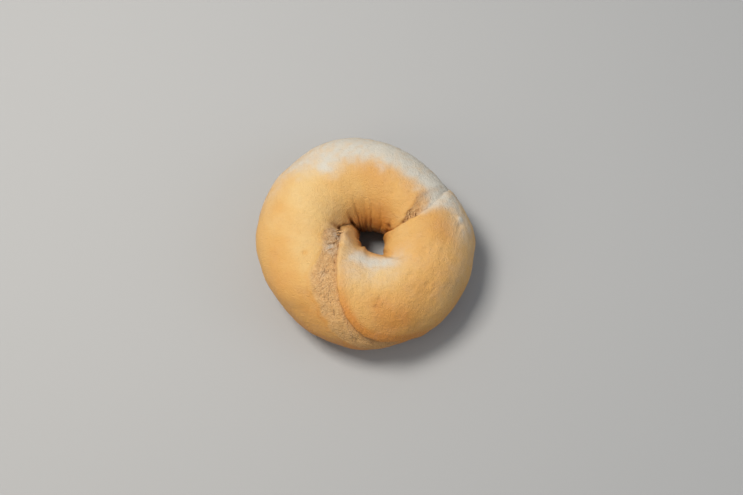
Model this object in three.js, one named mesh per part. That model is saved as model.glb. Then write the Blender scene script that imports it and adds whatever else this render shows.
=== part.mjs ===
// A hand-shaped bagel: one rope of dough closed into a ring, its broad end lapped over its
// thin one, baked until the lap has torn open a little along its edges.
// Millimetres, +Z up. It stands on z = 0 with the middle of its outline on the Z axis.

import * as THREE from 'three';

// ---- Driving dimensions, in millimetres and degrees ----
// Two angles give a point of the crust. Its heading turns round the ring from +X. Its wrap
// turns round the dough: 0 outside the ring, 90 on top, 180 in the hole, 270 underneath.

const OUTER_RADIUS = 50.8;
const OUTLINE_SHIFT = { x: 0.8, y: -1.75 };
// Slow swells of the outline, each with a crest at its heading.
const OUTLINE_SWELLS = [
  { crests: 1, height: 1.9, heading: 137 },
  { crests: 2, height: 2.0, heading: 129 },
  { crests: 3, height: 0.6, heading: 109 },
  { crests: 4, height: 0.6, heading: 87 },
];
const HOLE_RADIUS = 6.8;
const HOLE_SHIFT = { x: 3.4, y: 1.0 };
// Where the hole's wall stands back from its circle, or leans in.
const HOLE_SWELLS = [
  { height: 1.2, heading: 108, spread: 32 },
  { height: -0.7, heading: 182, spread: 16 },
  { height: 0.6, heading: 224, spread: 18 },
  { height: -0.95, heading: 257, spread: 14 },
  { height: 1.0, heading: 318, spread: 26 },
  { height: 0.25, heading: 352, spread: 25 },
];

const BELT_HEIGHT = 17;
const CROWN_RISE = 20.6;
const KEEL_DROP = 21;
const HEEL_EASE = 2;

// Headings along the lap are counted on from its start. Distances to the lap's two ends are
// counted from its middle.
const LAP_START = 83;
const LAP_MIDDLE = 263;
// The broad end's long edge: it leaves the belt, climbs over the top and turns into the hole.
// It bulges down at a shoulder and a belly, and near the mouth it dives a little further under
// the belt.
const LONG_EDGE = { low: -14, climb: 150, middle: 254, ease: 18.8, start: 150, end: 372 };
const LONG_EDGE_DIVE = { wrap: 18, from: 295, to: 385 };
const LONG_EDGE_SHOULDER = { wrap: 6.2, middle: 167, spread: 18 };
const LONG_EDGE_BELLY = { wrap: 8.5, middle: 260, spread: 18 };
// The broad end's mouth, which swallows the rest of the rope: heading for each wrap. Its
// stretch in the hole is drawn back.
const MOUTH = { heading: 22.5, lean: 9.5, curl: 3, wrap: 133 };
const MOUTH_DRAWN = { heading: 6, draws: [145, 175], eases: [205, 250] };
// The broad end's tip in the hole: its heading falls as it goes down, from a curl at the top
// past a blunt corner.
const TIP = { heading: 137.5, fall: 0.42, from: 134, top: 138, to: 200 };
const TIP_CURL = { heading: 21, reach: 8 };
const TIP_CORNER = { heading: 5, middle: 149, spread: 8 };
const TIP_FLANK = { heading: 3, from: 155, to: 168 };

// Each edge: how far the lap swells there, how deep its foot sinks, how deep the torn
// dough beside it lies, and how far the swell reaches in.
const LONG_LIP = { swell: 1.2, sink: 1.55, torn: 1.2, reach: 9 };
const TIP_LIP = { swell: 0.5, sink: 2.6, torn: 0, reach: 5 };
const MOUTH_LIP = { swell: 2.1, sink: 1.45, torn: 1.25, reach: 12 };
const LIP_ROUND = 1.6;
const FOOT_WIDTH = 0.7;
const CORNER_BLEND = 1.6;
// The mouth's lip is rounder low on the rope.
const MOUTH_ROUND = { extra: 1.2, from: 70, to: 105 };

// The bands of torn dough, widest partway along each edge. The long one has a waist.
const LONG_TEAR = { wrap: 45, middle: 230, spread: 57, opens: [144, 153], closes: [272, 302] };
const LONG_TEAR_WAIST = { share: 0.28, middle: 200, spread: 12 };
const MOUTH_TEAR = { width: 7.2, middle: 78, spread: 48, closes: [112, 150] };
const TEAR_SLOPE = 1.5;
const TEAR_FULL_DEPTH = 3;

// Where the lap calms down: along its long edge, at the mouth's outer corner and below.
const LONG_EDGE_CALM = { from: 275, to: 345, kept: 0.25 };
const SHOULDER_CALM = { share: 0.3, middle: 172, spread: 14 };
const MOUTH_CALM = { from: 15, to: 85, kept: 0.25 };
const UNDERSIDE_FADE = { rises: [-75, -40], sinks: [205, 245] };

// Creases on the far wall of the hole, each leaning from one heading to another as it falls
// from the wrap where it opens. Spread is half its width in degrees.
const CREASES = [
  { top: 124.5, foot: 121, opens: 132, depth: 2.6, spread: 3.8 },
  { top: 103.5, foot: 104.5, opens: 108, depth: 0.7, spread: 3.0 },
  { top: 91, foot: 84.5, opens: 112, depth: 0.5, spread: 4.5 },
  { top: 80, foot: 70.5, opens: 112, depth: 0.5, spread: 3.6 },
  { top: 36, foot: 24, opens: 128, depth: 0.5, spread: 3.0 },
];
const CREASE_WRAP = { grows: 38, leans: [110, 170], closes: [190, 225] };
const CREASE_MARGIN = 0.6;

// The fold where the lap turns over the near rim of the hole: heading, depth and half its
// width in millimetres at each wrap.
const FOLD = [
  { wrap: 104, heading: 329, depth: 0, spread: 1.2 },
  { wrap: 122, heading: 318, depth: 0.6, spread: 1.4 },
  { wrap: 130, heading: 313.5, depth: 1.2, spread: 1.8 },
  { wrap: 157, heading: 313, depth: 2.3, spread: 2.4 },
  { wrap: 200, heading: 313, depth: 2.2, spread: 2.4 },
  { wrap: 225, heading: 313, depth: 0, spread: 2.4 },
];

// Soft hollows beside the lap, and soft lumps and dents of the crust. Reach is in
// millimetres, round the ring and round the dough.
const HOLLOWS = [
  { heading: 134, wrap: 148, reach: [7, 12], height: -3.2 },
  { heading: 154, wrap: 132, reach: [3.5, 5], height: -1.0 },
];
const HOLLOW_MARGIN = 0.5;
const LUMPS = [
  { heading: 214, wrap: 38, reach: [10, 10], height: 1.5 },
  { heading: 2, wrap: 42, reach: [8, 8], height: 0.7 },
  { heading: 2, wrap: 5, reach: [9, 9], height: 1.0 },
  { heading: 283, wrap: 45, reach: [9, 9], height: -0.6 },
  { heading: 186, wrap: 0, reach: [8, 8], height: -0.9 },
  { heading: 268, wrap: -18, reach: [6, 6], height: -0.8 },
  { heading: 297, wrap: -16, reach: [4.5, 4.5], height: 0.8 },
  { heading: 312, wrap: -13, reach: [5, 5], height: -0.6 },
  { heading: 146, wrap: 10, reach: [7, 7], height: -0.6 },
  { heading: 177, wrap: 148, reach: [5, 5], height: -0.8 },
];

// Facets: lines of heading between these, at these steps, closest at the mouth and creases.
const HEADING_SPANS = [
  { from: -14, to: -5, step: 3 },
  { from: -5, to: 1, step: 1.2 },
  { from: 1, to: 13, step: 3 },
  { from: 13, to: 32, step: 3.8 },
  { from: 32, to: 120, step: 2.2 },
  { from: 120, to: 144, step: 4 },
  { from: 144, to: 346, step: 4.8 },
];
const HEADING_ORIGIN = 22;
// Lines of wrap, counted from the long edge, closest at its lip.
const WRAP_SPANS = [
  { from: -12, to: -6, step: 6 },
  { from: -6, to: -2.4, step: 3.6 },
  { from: -2.4, to: 0, step: 2.4 },
  { from: 0, to: 2.4, step: 0.8 },
  { from: 2.4, to: 8, step: 2.8 },
  { from: 8, to: 16, step: 8 },
  { from: 16, to: 348, step: 9.5 },
];
const MOUTH_PULL = 45;

// ---- Small helpers ----

const { clamp, degToRad, euclideanModulo, inverseLerp, lerp, smoothstep } = THREE.MathUtils;
const cosine = (angle) => Math.cos(degToRad(angle));
const sine = (angle) => Math.sin(degToRad(angle));
const ramp = (from, to, value) => smoothstep(value, from, to);
const hump = (value, middle, spread) => Math.exp(-(((value - middle) / spread) ** 2));
const turnedFrom = (start, angle) => start + euclideanModulo(angle - start, 360);
const sumOf = (items, amount) => items.reduce((sum, item) => sum + amount(item), 0);
const ARC = degToRad(1);

// ---- The plain ring ----

function outerRadius(heading) {
  const swell = ({ crests, height, heading: crest }) => height * cosine(crests * (heading - crest));
  return OUTER_RADIUS + sumOf(OUTLINE_SWELLS, swell);
}

// Radius of the hole's wall, seen from the middle of the outline.
function holeRadius(heading) {
  const along = HOLE_SHIFT.x * cosine(heading) + HOLE_SHIFT.y * sine(heading);
  const across = HOLE_SHIFT.x * sine(heading) - HOLE_SHIFT.y * cosine(heading);
  const swells = sumOf(HOLE_SWELLS, (swell) => {
    return swell.height * hump(turnedFrom(swell.heading - 180, heading), swell.heading, swell.spread);
  });
  return along + Math.sqrt(HOLE_RADIUS ** 2 - across ** 2) + swells;
}

// Dough below the tray is pressed flat, with an eased heel.
function pressedFlat(height) {
  if (height > HEEL_EASE) return height;
  if (height < -HEEL_EASE) return 0;
  return (height + HEEL_EASE) ** 2 / (4 * HEEL_EASE);
}

// ---- The lap's edges ----

function longEdgeRate(heading) {
  const turned = turnedFrom(LAP_START, heading);
  return 1 / (1 + Math.exp((turned - LONG_EDGE.middle) / LONG_EDGE.ease));
}

function longEdge(heading) {
  const turned = turnedFrom(LAP_START, heading);
  const dive = LONG_EDGE_DIVE.wrap * ramp(LONG_EDGE_DIVE.from, LONG_EDGE_DIVE.to, turned);
  const climbed = LONG_EDGE.low + LONG_EDGE.climb * longEdgeRate(heading);
  let bulges = 0;
  for (const { wrap, middle, spread } of [LONG_EDGE_SHOULDER, LONG_EDGE_BELLY]) {
    bulges += wrap * hump(turned, middle, spread);
  }
  return climbed - dive - bulges;
}

function mouthEdge(wrap) {
  const turned = wrap - MOUTH.wrap;
  const drawn = ramp(...MOUTH_DRAWN.draws, wrap) * (1 - ramp(...MOUTH_DRAWN.eases, wrap));
  const bowed = MOUTH.heading - MOUTH.lean * cosine(turned) - MOUTH.curl * cosine(2 * turned);
  return bowed + MOUTH_DRAWN.heading * drawn;
}

function tipEdge(wrap) {
  const fallen = clamp(wrap, TIP.from, TIP.to) - TIP.top;
  const curl = TIP_CURL.heading * Math.exp(-fallen / TIP_CURL.reach);
  const corner = TIP_CORNER.heading * hump(wrap, TIP_CORNER.middle, TIP_CORNER.spread);
  const flank = TIP_FLANK.heading * ramp(TIP_FLANK.from, TIP_FLANK.to, wrap);
  return TIP.heading - TIP.fall * fallen + curl + corner - flank;
}

// ---- A place on the crust ----

// The ring's section there, the millimetres in one degree of heading and of wrap, and the
// distance into the lap from the nearest of its three edges, below 0 outside the lap, with
// each edge's share in that.
function crustPlace(heading, anyWrap) {
  const wrap = turnedFrom(-90, anyWrap);
  const outer = outerRadius(heading);
  const inner = holeRadius(heading);
  const half = (outer - inner) / 2;
  const radius = (outer + inner) / 2 + half * cosine(wrap);
  const wrapArc = ((half + CROWN_RISE) / 2) * ARC;
  const headingArc = radius * ARC;

  const rate = longEdgeRate(heading);
  const slope = (LONG_EDGE.climb / LONG_EDGE.ease) * rate * (1 - rate);
  const acrossArc = wrapArc / Math.hypot(1, (wrapArc * slope) / headingArc);
  const turned = turnedFrom(-180, heading - LAP_MIDDLE);
  const distances = [
    (wrap - longEdge(heading)) * acrossArc,
    (turned - (tipEdge(wrap) - LAP_MIDDLE)) * headingArc,
    (mouthEdge(wrap) + 360 - LAP_MIDDLE - turned) * headingArc,
  ];
  const nearest = Math.min(...distances);
  const weights = distances.map((distance) => Math.exp((nearest - distance) / CORNER_BLEND));
  const total = weights[0] + weights[1] + weights[2];
  const distance = nearest - CORNER_BLEND * Math.log(total);
  const shares = weights.map((weight) => weight / total);
  return { heading, wrap, half, radius, wrapArc, headingArc, acrossArc, distance, shares };
}

// ---- The lap's lips, feet and torn bands ----

function keptShare({ heading, wrap, shares }) {
  const turned = turnedFrom(LAP_START, heading);
  const calmed = (1 - LONG_EDGE_CALM.kept) * ramp(LONG_EDGE_CALM.from, LONG_EDGE_CALM.to, turned);
  const eased = SHOULDER_CALM.share * hump(turned, SHOULDER_CALM.middle, SHOULDER_CALM.spread);
  const mouthKept = lerp(MOUTH_CALM.kept, 1, ramp(MOUTH_CALM.from, MOUTH_CALM.to, wrap));
  const aboveTray = ramp(...UNDERSIDE_FADE.rises, wrap) * (1 - ramp(...UNDERSIDE_FADE.sinks, wrap));
  return aboveTray * (shares[0] * (1 - calmed - eased) + shares[1] + shares[2] * mouthKept);
}

function tearWidth({ heading, wrap, acrossArc, shares }) {
  const turned = turnedFrom(LAP_START, heading);
  const waist = 1 - LONG_TEAR_WAIST.share * hump(turned, LONG_TEAR_WAIST.middle, LONG_TEAR_WAIST.spread);
  const longOpen = ramp(...LONG_TEAR.opens, turned) * (1 - ramp(...LONG_TEAR.closes, turned));
  const longTear = LONG_TEAR.wrap * hump(turned, LONG_TEAR.middle, LONG_TEAR.spread) * longOpen * waist;
  const mouthOpen = 1 - ramp(...MOUTH_TEAR.closes, wrap);
  const mouthTear = MOUTH_TEAR.width * hump(wrap, MOUTH_TEAR.middle, MOUTH_TEAR.spread) * mouthOpen;
  return shares[0] * longTear * acrossArc + shares[2] * mouthTear;
}

function lapRelief(place) {
  const { wrap, distance, shares } = place;
  const lips = [LONG_LIP, TIP_LIP, MOUTH_LIP];
  const mixed = (name) => lips.reduce((sum, lip, i) => sum + lip[name] * shares[i], 0);
  const kept = keptShare(place);
  if (distance > 0) {
    const lowOnMouth = shares[2] * (1 - ramp(MOUTH_ROUND.from, MOUTH_ROUND.to, wrap));
    const lipRound = LIP_ROUND * (1 + MOUTH_ROUND.extra * lowOnMouth);
    const round = Math.sqrt(1 - (1 - Math.min(distance / lipRound, 1)) ** 2);
    const swell = mixed('swell') * Math.exp(-((distance / mixed('reach')) ** 2));
    return kept * (swell - (1 - round) * (mixed('swell') + mixed('sink')));
  }
  const width = tearWidth(place);
  const tornDepth = mixed('torn') * Math.min(width / TEAR_FULL_DEPTH, 1);
  const torn = tornDepth * (1 - ramp(0, width + TEAR_SLOPE, -distance));
  const foot = (mixed('sink') - tornDepth) * Math.exp(distance / FOOT_WIDTH);
  return -kept * (torn + foot);
}

// ---- Creases, fold, hollows and lumps ----

function creaseRelief({ heading, wrap, distance }) {
  const fallen = clamp(inverseLerp(...CREASE_WRAP.leans, wrap), 0, 1);
  const outside = ramp(0, CREASE_MARGIN, -distance);
  const depth = sumOf(CREASES, (crease) => {
    const middle = lerp(crease.top, crease.foot, fallen);
    const open = ramp(crease.opens, crease.opens + CREASE_WRAP.grows, wrap);
    return crease.depth * open * hump(turnedFrom(-60, heading), middle, crease.spread);
  });
  return -depth * (1 - ramp(...CREASE_WRAP.closes, wrap)) * outside;
}

function foldRelief({ heading, wrap, headingArc }) {
  const below = FOLD.findIndex((row) => row.wrap > wrap);
  if (below < 1) return 0;
  const [above, next] = [FOLD[below - 1], FOLD[below]];
  const share = inverseLerp(above.wrap, next.wrap, wrap);
  const at = (name) => lerp(above[name], next[name], share);
  const beside = (turnedFrom(LAP_START, heading) - at('heading')) * headingArc;
  return -at('depth') * hump(beside, 0, at('spread'));
}

// A soft spot of the given height at its middle.
function spotRelief(spot, { heading, wrap, headingArc, wrapArc }) {
  const around = (turnedFrom(spot.heading - 180, heading) - spot.heading) * headingArc;
  const over = (turnedFrom(spot.wrap - 180, wrap) - spot.wrap) * wrapArc;
  return spot.height * hump(around, 0, spot.reach[0]) * hump(over, 0, spot.reach[1]);
}

function crustRelief(place) {
  const hollows = sumOf(HOLLOWS, (spot) => spotRelief(spot, place));
  const lumps = sumOf(LUMPS, (spot) => spotRelief(spot, place));
  const outside = ramp(0, HOLLOW_MARGIN, -place.distance);
  return lapRelief(place) + creaseRelief(place) + foldRelief(place) + hollows * outside + lumps;
}

// ---- The crust ----

function crustPoint(heading, anyWrap) {
  const place = crustPlace(heading, anyWrap);
  const height = sine(place.wrap) > 0 ? CROWN_RISE : KEEL_DROP;
  const outward = new THREE.Vector2(cosine(place.wrap) / place.half, sine(place.wrap) / height);
  outward.normalize();
  const relief = crustRelief(place);
  const radius = place.radius + outward.x * relief;
  return [
    OUTLINE_SHIFT.x + radius * cosine(heading),
    OUTLINE_SHIFT.y + radius * sine(heading),
    pressedFlat(BELT_HEIGHT + height * sine(place.wrap) + outward.y * relief),
  ];
}

// The lines between the spans' ends, each span in equal steps.
function spacedLines(spans) {
  const lines = [];
  for (const { from, to, step } of spans) {
    const count = Math.round((to - from) / step);
    for (let i = 0; i < count; i += 1) lines.push(from + ((to - from) * i) / count);
  }
  return lines;
}

// Lines of wrap follow the long edge, and lead back up to its start behind the mouth.
function wrapOrigin(heading) {
  const past = turnedFrom(LONG_EDGE.start, heading);
  if (past < LONG_EDGE.end) return longEdge(heading);
  const back = ramp(LONG_EDGE.end, LONG_EDGE.start + 360, past);
  return lerp(longEdge(LONG_EDGE.end), longEdge(LONG_EDGE.start), back);
}

// Lines of heading near the mouth are pulled along its edge.
function pulledHeading(offset, wrap) {
  const reach = Math.min(Math.abs(offset) / MOUTH_PULL, 1);
  const pull = (1 + Math.cos(Math.PI * reach)) / 2;
  return HEADING_ORIGIN + offset + (mouthEdge(wrap) - HEADING_ORIGIN) * pull;
}

function buildCrust() {
  const headings = spacedLines(HEADING_SPANS);
  const wraps = spacedLines(WRAP_SPANS);
  const positions = [];
  for (const offset of headings) {
    for (const step of wraps) {
      const wrap = turnedFrom(-90, wrapOrigin(HEADING_ORIGIN + offset) + step);
      const nearOffset = euclideanModulo(offset + 180, 360) - 180;
      positions.push(...crustPoint(pulledHeading(nearOffset, wrap), wrap));
    }
  }
  const corner = (i, j) => (i % headings.length) * wraps.length + (j % wraps.length);
  const faces = [];
  for (let i = 0; i < headings.length; i += 1) {
    for (let j = 0; j < wraps.length; j += 1) {
      faces.push(corner(i, j), corner(i + 1, j), corner(i + 1, j + 1));
      faces.push(corner(i, j), corner(i + 1, j + 1), corner(i, j + 1));
    }
  }
  const geometry = new THREE.BufferGeometry();
  geometry.setAttribute('position', new THREE.Float32BufferAttribute(positions, 3));
  geometry.setIndex(faces);
  geometry.computeVertexNormals();
  return geometry;
}

// ---- The bagel ----

const crust = new THREE.MeshStandardMaterial({ color: '#d9ae78', roughness: 0.62, metalness: 0 });

const bagel = new THREE.Mesh(buildCrust(), crust);
bagel.name = 'bagel';

const model = new THREE.Group();
model.add(bagel);

export default model;
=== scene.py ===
# %% [markdown]
# # A hand-shaped bagel, from dough to crust
# A plain bagel is one rope of dough closed into a ring. Its broad end is lapped over its
# thin end, and in the oven the lap tears open a little along its edges. Flour from the
# shaping table stays white on the outside, and the oven turns the rest gold.
#
# The construction model already holds the ring, the lap and the hole at their real size,
# in facets. This lesson makes the skin of the bread: a fine mesh over the same ring, worked
# out by the same angles, with ragged torn dough, creases, dimples, strands and a finish.
# Lengths are in millimetres and angles in degrees until the mesh is made.

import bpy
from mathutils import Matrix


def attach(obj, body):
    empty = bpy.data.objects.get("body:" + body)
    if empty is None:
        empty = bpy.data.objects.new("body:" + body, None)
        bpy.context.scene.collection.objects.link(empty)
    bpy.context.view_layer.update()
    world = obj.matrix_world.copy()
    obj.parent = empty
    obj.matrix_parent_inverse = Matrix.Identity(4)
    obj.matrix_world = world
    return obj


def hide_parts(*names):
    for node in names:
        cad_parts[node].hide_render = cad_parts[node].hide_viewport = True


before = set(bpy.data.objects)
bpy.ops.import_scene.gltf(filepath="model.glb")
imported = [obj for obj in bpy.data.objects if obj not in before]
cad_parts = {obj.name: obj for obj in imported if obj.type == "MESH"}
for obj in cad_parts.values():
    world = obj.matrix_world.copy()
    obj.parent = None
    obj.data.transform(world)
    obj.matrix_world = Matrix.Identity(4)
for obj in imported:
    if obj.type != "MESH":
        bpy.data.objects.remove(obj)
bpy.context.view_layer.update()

# %% [markdown]
# ## Tools
# Most of this bagel is arithmetic on a net of points, so the tools are small curves: a ramp
# from 0 to 1, a hump that rises and falls again, and a window that opens and closes. They
# work on single numbers and on whole nets alike. A sculpted bagel could look as good, but
# curves can be read, moved and repeated.

# %% Bring in the tools
import math

import bpy
import numpy as np
from mathutils import Matrix, Vector

METRES = 0.001


def cosine(angle):
    return np.cos(np.radians(angle))


def sine(angle):
    return np.sin(np.radians(angle))


def ramp(start, end, value):
    """0 before start, 1 after end, with an eased climb between them."""
    share = np.clip((value - start) / (end - start), 0, 1)
    return share * share * (3 - 2 * share)


def window(value, opens, closes):
    """1 between two ramps, each given by its start and end, and 0 outside them."""
    return ramp(*opens, value) * (1 - ramp(*closes, value))


def hump(value, middle, spread):
    """A bell that is 1 at its middle and about a third of that one spread away."""
    return np.exp(-(((value - middle) / spread) ** 2))


def turned_from(start, angle):
    """The same direction, written as an angle from start to start + 360."""
    return start + np.mod(angle - start, 360)


print("a hump at its middle and one spread away:", hump(np.array([0, 1]), 0, 1).round(2))

# %% [markdown]
# ## The ring of dough
# Two angles name every point of the crust. The **heading** turns round the ring, from the
# right. The **wrap** turns round the dough: 0 is the outside of the ring, 90 the top,
# 180 the hole and 270 the underside. A torus primitive would give the same two angles, but
# it is perfectly round, and dough isn't. So the outline is a circle with a few slow swells
# added to it, and the hole is a circle that sits a little off the middle, with its own
# swells. Dough that would hang below the tray is pressed flat on it.

# %% Outline and hole
OUTER_RADIUS = 50.8
# Crests round the ring, height, heading of the first crest.
OUTLINE_SWELLS = [(1, 1.9, 137), (2, 2.0, 129), (3, 0.6, 109), (4, 0.6, 87)]
OUTLINE_SHIFT = (0.8, -1.75)
HOLE_RADIUS = 6.8
HOLE_SHIFT = (3.4, 1.0)
# How far the hole's wall stands back, the heading where it does, half its width in degrees.
HOLE_SWELLS = [
    (1.2, 108, 32),
    (-0.7, 182, 16),
    (0.6, 224, 18),
    (-0.95, 257, 14),
    (1.0, 318, 26),
    (0.25, 352, 25),
]


def outer_radius(heading):
    return OUTER_RADIUS + sum(
        height * cosine(crests * (heading - crest)) for crests, height, crest in OUTLINE_SWELLS
    )


def hole_radius(heading):
    """The hole's wall, seen from the middle of the outline."""
    along = HOLE_SHIFT[0] * cosine(heading) + HOLE_SHIFT[1] * sine(heading)
    across = HOLE_SHIFT[0] * sine(heading) - HOLE_SHIFT[1] * cosine(heading)
    swells = sum(
        height * hump(turned_from(middle - 180, heading), middle, spread)
        for height, middle, spread in HOLE_SWELLS
    )
    return along + np.sqrt(HOLE_RADIUS**2 - across**2) + swells


print("ring outside", OUTER_RADIUS * 2, "mm, hole", HOLE_RADIUS * 2, "mm")

# %% Cross-section
BELT_HEIGHT = 17
CROWN_RISE = 20.6
KEEL_DROP = 21
HEEL_EASE = 2


def half_width(heading):
    return (outer_radius(heading) - hole_radius(heading)) / 2


def ring_radius(heading, wrap):
    middle = (outer_radius(heading) + hole_radius(heading)) / 2
    return middle + half_width(heading) * cosine(wrap)


def pressed_flat(height):
    """Dough that would hang below the tray lies flat on it, with an eased heel."""
    eased = (height + HEEL_EASE) ** 2 / (4 * HEEL_EASE)
    return np.where(height > HEEL_EASE, height, np.where(height < -HEEL_EASE, 0, eased))


def crust_points(heading, wrap, relief):
    """Points that stand the given relief off the plain ring, square to its surface."""
    reach = np.where(sine(wrap) > 0, CROWN_RISE, KEEL_DROP)
    outward = cosine(wrap) / half_width(heading)
    upward = sine(wrap) / reach
    length = np.hypot(outward, upward)
    radius = ring_radius(heading, wrap) + relief * outward / length
    height = BELT_HEIGHT + reach * sine(wrap) + relief * upward / length
    return np.stack(
        [
            OUTLINE_SHIFT[0] + radius * cosine(heading),
            OUTLINE_SHIFT[1] + radius * sine(heading),
            pressed_flat(height),
        ],
        axis=-1,
    )


print("dough", round(float(2 * half_width(0)), 1), "mm thick at the right")

# %% [markdown]
# ## The lap and its three edges
# The broad end has a long edge that leaves the belt, climbs over the top and turns into the
# hole. It has a tip in the hole, and a mouth that swallows the rest of the rope. Each edge
# is a curve in heading and wrap. Cutting the dough with boolean tools would leave knife
# edges. A distance from the edges is kinder: everything near a lip, its roundness, the
# foot under it and the torn band beside it, becomes a curve over that one distance.

# %% Long edge
# Headings along the lap are counted on from its start.
LAP_START = 83
LONG_EDGE_LOW = -14
LONG_EDGE_CLIMB = 150
LONG_EDGE_MIDDLE = 254
LONG_EDGE_EASE = 18.8
# The long edge bulges down in a shoulder and a belly: how far, its middle, its spread.
LONG_EDGE_BULGES = [(6.2, 167, 18), (8.5, 260, 18)]
# Near the mouth it dives under the belt.
DIVE_DROP = 18
DIVE = (295, 385)


def long_edge_rate(heading):
    """1 where the long edge starts, 0 where it ends."""
    turned = turned_from(LAP_START, heading)
    return 1 / (1 + np.exp((turned - LONG_EDGE_MIDDLE) / LONG_EDGE_EASE))


def long_edge(heading):
    """Wrap of the long edge at a heading."""
    turned = turned_from(LAP_START, heading)
    dive = DIVE_DROP * ramp(*DIVE, turned)
    bulges = sum(drop * hump(turned, middle, spread) for drop, middle, spread in LONG_EDGE_BULGES)
    return LONG_EDGE_LOW + LONG_EDGE_CLIMB * long_edge_rate(heading) - dive - bulges


print("the long edge lies at wrap", round(float(long_edge(270)), 1), "degrees at the near side")

# %% Mouth and tip
# The mouth leans and curls about one wrap, and its stretch in the hole is drawn back.
MOUTH_HEADING = 22.5
MOUTH_LEAN = 9.5
MOUTH_CURL = 3
MOUTH_BEND = 133
MOUTH_DRAWN = 6
MOUTH_DRAWN_SPAN = dict(opens=(145, 175), closes=(205, 250))
# The tip's edge falls from a curl at its top, past a blunt corner, to a flank.
TIP_HEADING = 137.5
TIP_TOP = 138
TIP_SPAN = (134, 200)
TIP_FALL = 0.42
TIP_CURL = 21
TIP_CURL_REACH = 8
TIP_CORNER = 5
TIP_CORNER_PLACE = dict(middle=149, spread=8)
TIP_FLANK = 3
TIP_FLANK_SPAN = (155, 168)


def mouth_edge(wrap):
    """Heading of the mouth at a wrap."""
    turned = wrap - MOUTH_BEND
    bowed = MOUTH_HEADING - MOUTH_LEAN * cosine(turned) - MOUTH_CURL * cosine(2 * turned)
    return bowed + MOUTH_DRAWN * window(wrap, **MOUTH_DRAWN_SPAN)


def tip_edge(wrap):
    """Heading of the tip at a wrap."""
    fallen = np.clip(wrap, *TIP_SPAN) - TIP_TOP
    curl = TIP_CURL * np.exp(-fallen / TIP_CURL_REACH)
    corner = TIP_CORNER * hump(wrap, **TIP_CORNER_PLACE)
    flank = TIP_FLANK * ramp(*TIP_FLANK_SPAN, wrap)
    return TIP_HEADING - TIP_FALL * fallen + curl + corner - flank


print("the mouth crosses the top at heading", round(float(mouth_edge(90)), 1), "degrees")

# %% Distance into the lap
LAP_MIDDLE = 263
CORNER_BLEND = 1.6
ARC = math.radians(1)


def wrap_arc(heading):
    """Millimetres of crust in one degree of wrap."""
    return (half_width(heading) + CROWN_RISE) / 2 * ARC


def heading_arc(heading, wrap):
    """Millimetres of crust in one degree of heading."""
    return ring_radius(heading, wrap) * ARC


def across_long_edge(heading, wrap):
    """Millimetres square to the long edge in one degree of wrap."""
    rate = long_edge_rate(heading)
    slope = LONG_EDGE_CLIMB / LONG_EDGE_EASE * rate * (1 - rate)
    climb = wrap_arc(heading) * slope / heading_arc(heading, wrap)
    return wrap_arc(heading) / np.hypot(1, climb)


def lap_distance(heading, wrap):
    """Millimetres into the lap, below 0 outside it, and each edge's share in that."""
    turned = turned_from(-180, heading - LAP_MIDDLE)
    around = heading_arc(heading, wrap)
    distances = np.stack(
        [
            (wrap - long_edge(heading)) * across_long_edge(heading, wrap),
            (turned - (tip_edge(wrap) - LAP_MIDDLE)) * around,
            (mouth_edge(wrap) + 360 - LAP_MIDDLE - turned) * around,
        ]
    )
    nearest = distances.min(axis=0)
    pull = np.exp((nearest - distances) / CORNER_BLEND)
    return nearest - CORNER_BLEND * np.log(pull.sum(axis=0)), pull / pull.sum(axis=0)


print("one degree of wrap is", round(float(wrap_arc(0)), 2), "mm of crust at the right")

# %% [markdown]
# ## Lines of the mesh
# The mesh is a net of heading lines and wrap lines. A net that ignores the lap would cut
# its lip into a staircase. Here the wrap lines follow the long edge and the heading lines
# are pulled along the mouth, so both lips run along lines of the net. Lines crowd together
# where the torn dough needs detail and spread out on the smooth crust. A subdivided cage
# would also be smooth, but it spends as many points on plain crust as on the lips.

# %% A net that follows the lap
HEADING_LINES = 456
WRAP_LINES = 210
LONG_EDGE_SPAN = (150, 372)
MOUTH_LINE = 22
MOUTH_PULL = 45
FINE_STEPS = 7201
# Degrees past the mouth or the long edge, half the crowd's width, how much denser it is.
MOUTH_CROWDS = [(0, 3, 1.6), (6, 9, 0.9), (70, 50, 0.15)]
LONG_EDGE_CROWDS = [(0.5, 4, 4.0), (-18, 18, 1.6)]


def crowded_lines(count, start, crowds):
    """Positions round a full turn, closer together in each crowd."""
    fine = np.linspace(start, start + 360, FINE_STEPS)
    density = 1 + sum(extra * hump(fine, place, spread) for place, spread, extra in crowds)
    climbed = np.concatenate([[0], np.cumsum((density[1:] + density[:-1]) / 2)])
    return np.interp(np.arange(count) / count * climbed[-1], climbed, fine)


def wrap_origin(heading):
    """The long edge, and behind the mouth an eased way back up to its start."""
    start, end = LONG_EDGE_SPAN
    past = turned_from(start, heading)
    low, high = long_edge(np.float64(end)), long_edge(np.float64(start))
    way_back = low + (high - low) * ramp(end, start + 360, past)
    return np.where(past < end, long_edge(heading), way_back)


def pulled_heading(offset, wrap):
    """The heading of a line some degrees past the mouth, pulled along the mouth's edge."""
    pull = (1 + np.cos(np.pi * np.clip(np.abs(offset) / MOUTH_PULL, 0, 1))) / 2
    return MOUTH_LINE + offset + (mouth_edge(wrap) - MOUTH_LINE) * pull


offsets = crowded_lines(HEADING_LINES, -180, MOUTH_CROWDS)
steps = crowded_lines(WRAP_LINES, -180, LONG_EDGE_CROWDS)
offset_net, step_net = np.meshgrid(offsets, steps, indexing="ij")
wrap = turned_from(-90, wrap_origin(MOUTH_LINE + offset_net) + step_net)
heading = turned_from(0, pulled_heading(offset_net, wrap))
print("net of", heading.size, "points,", 2 * heading.size, "triangles")

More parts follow.
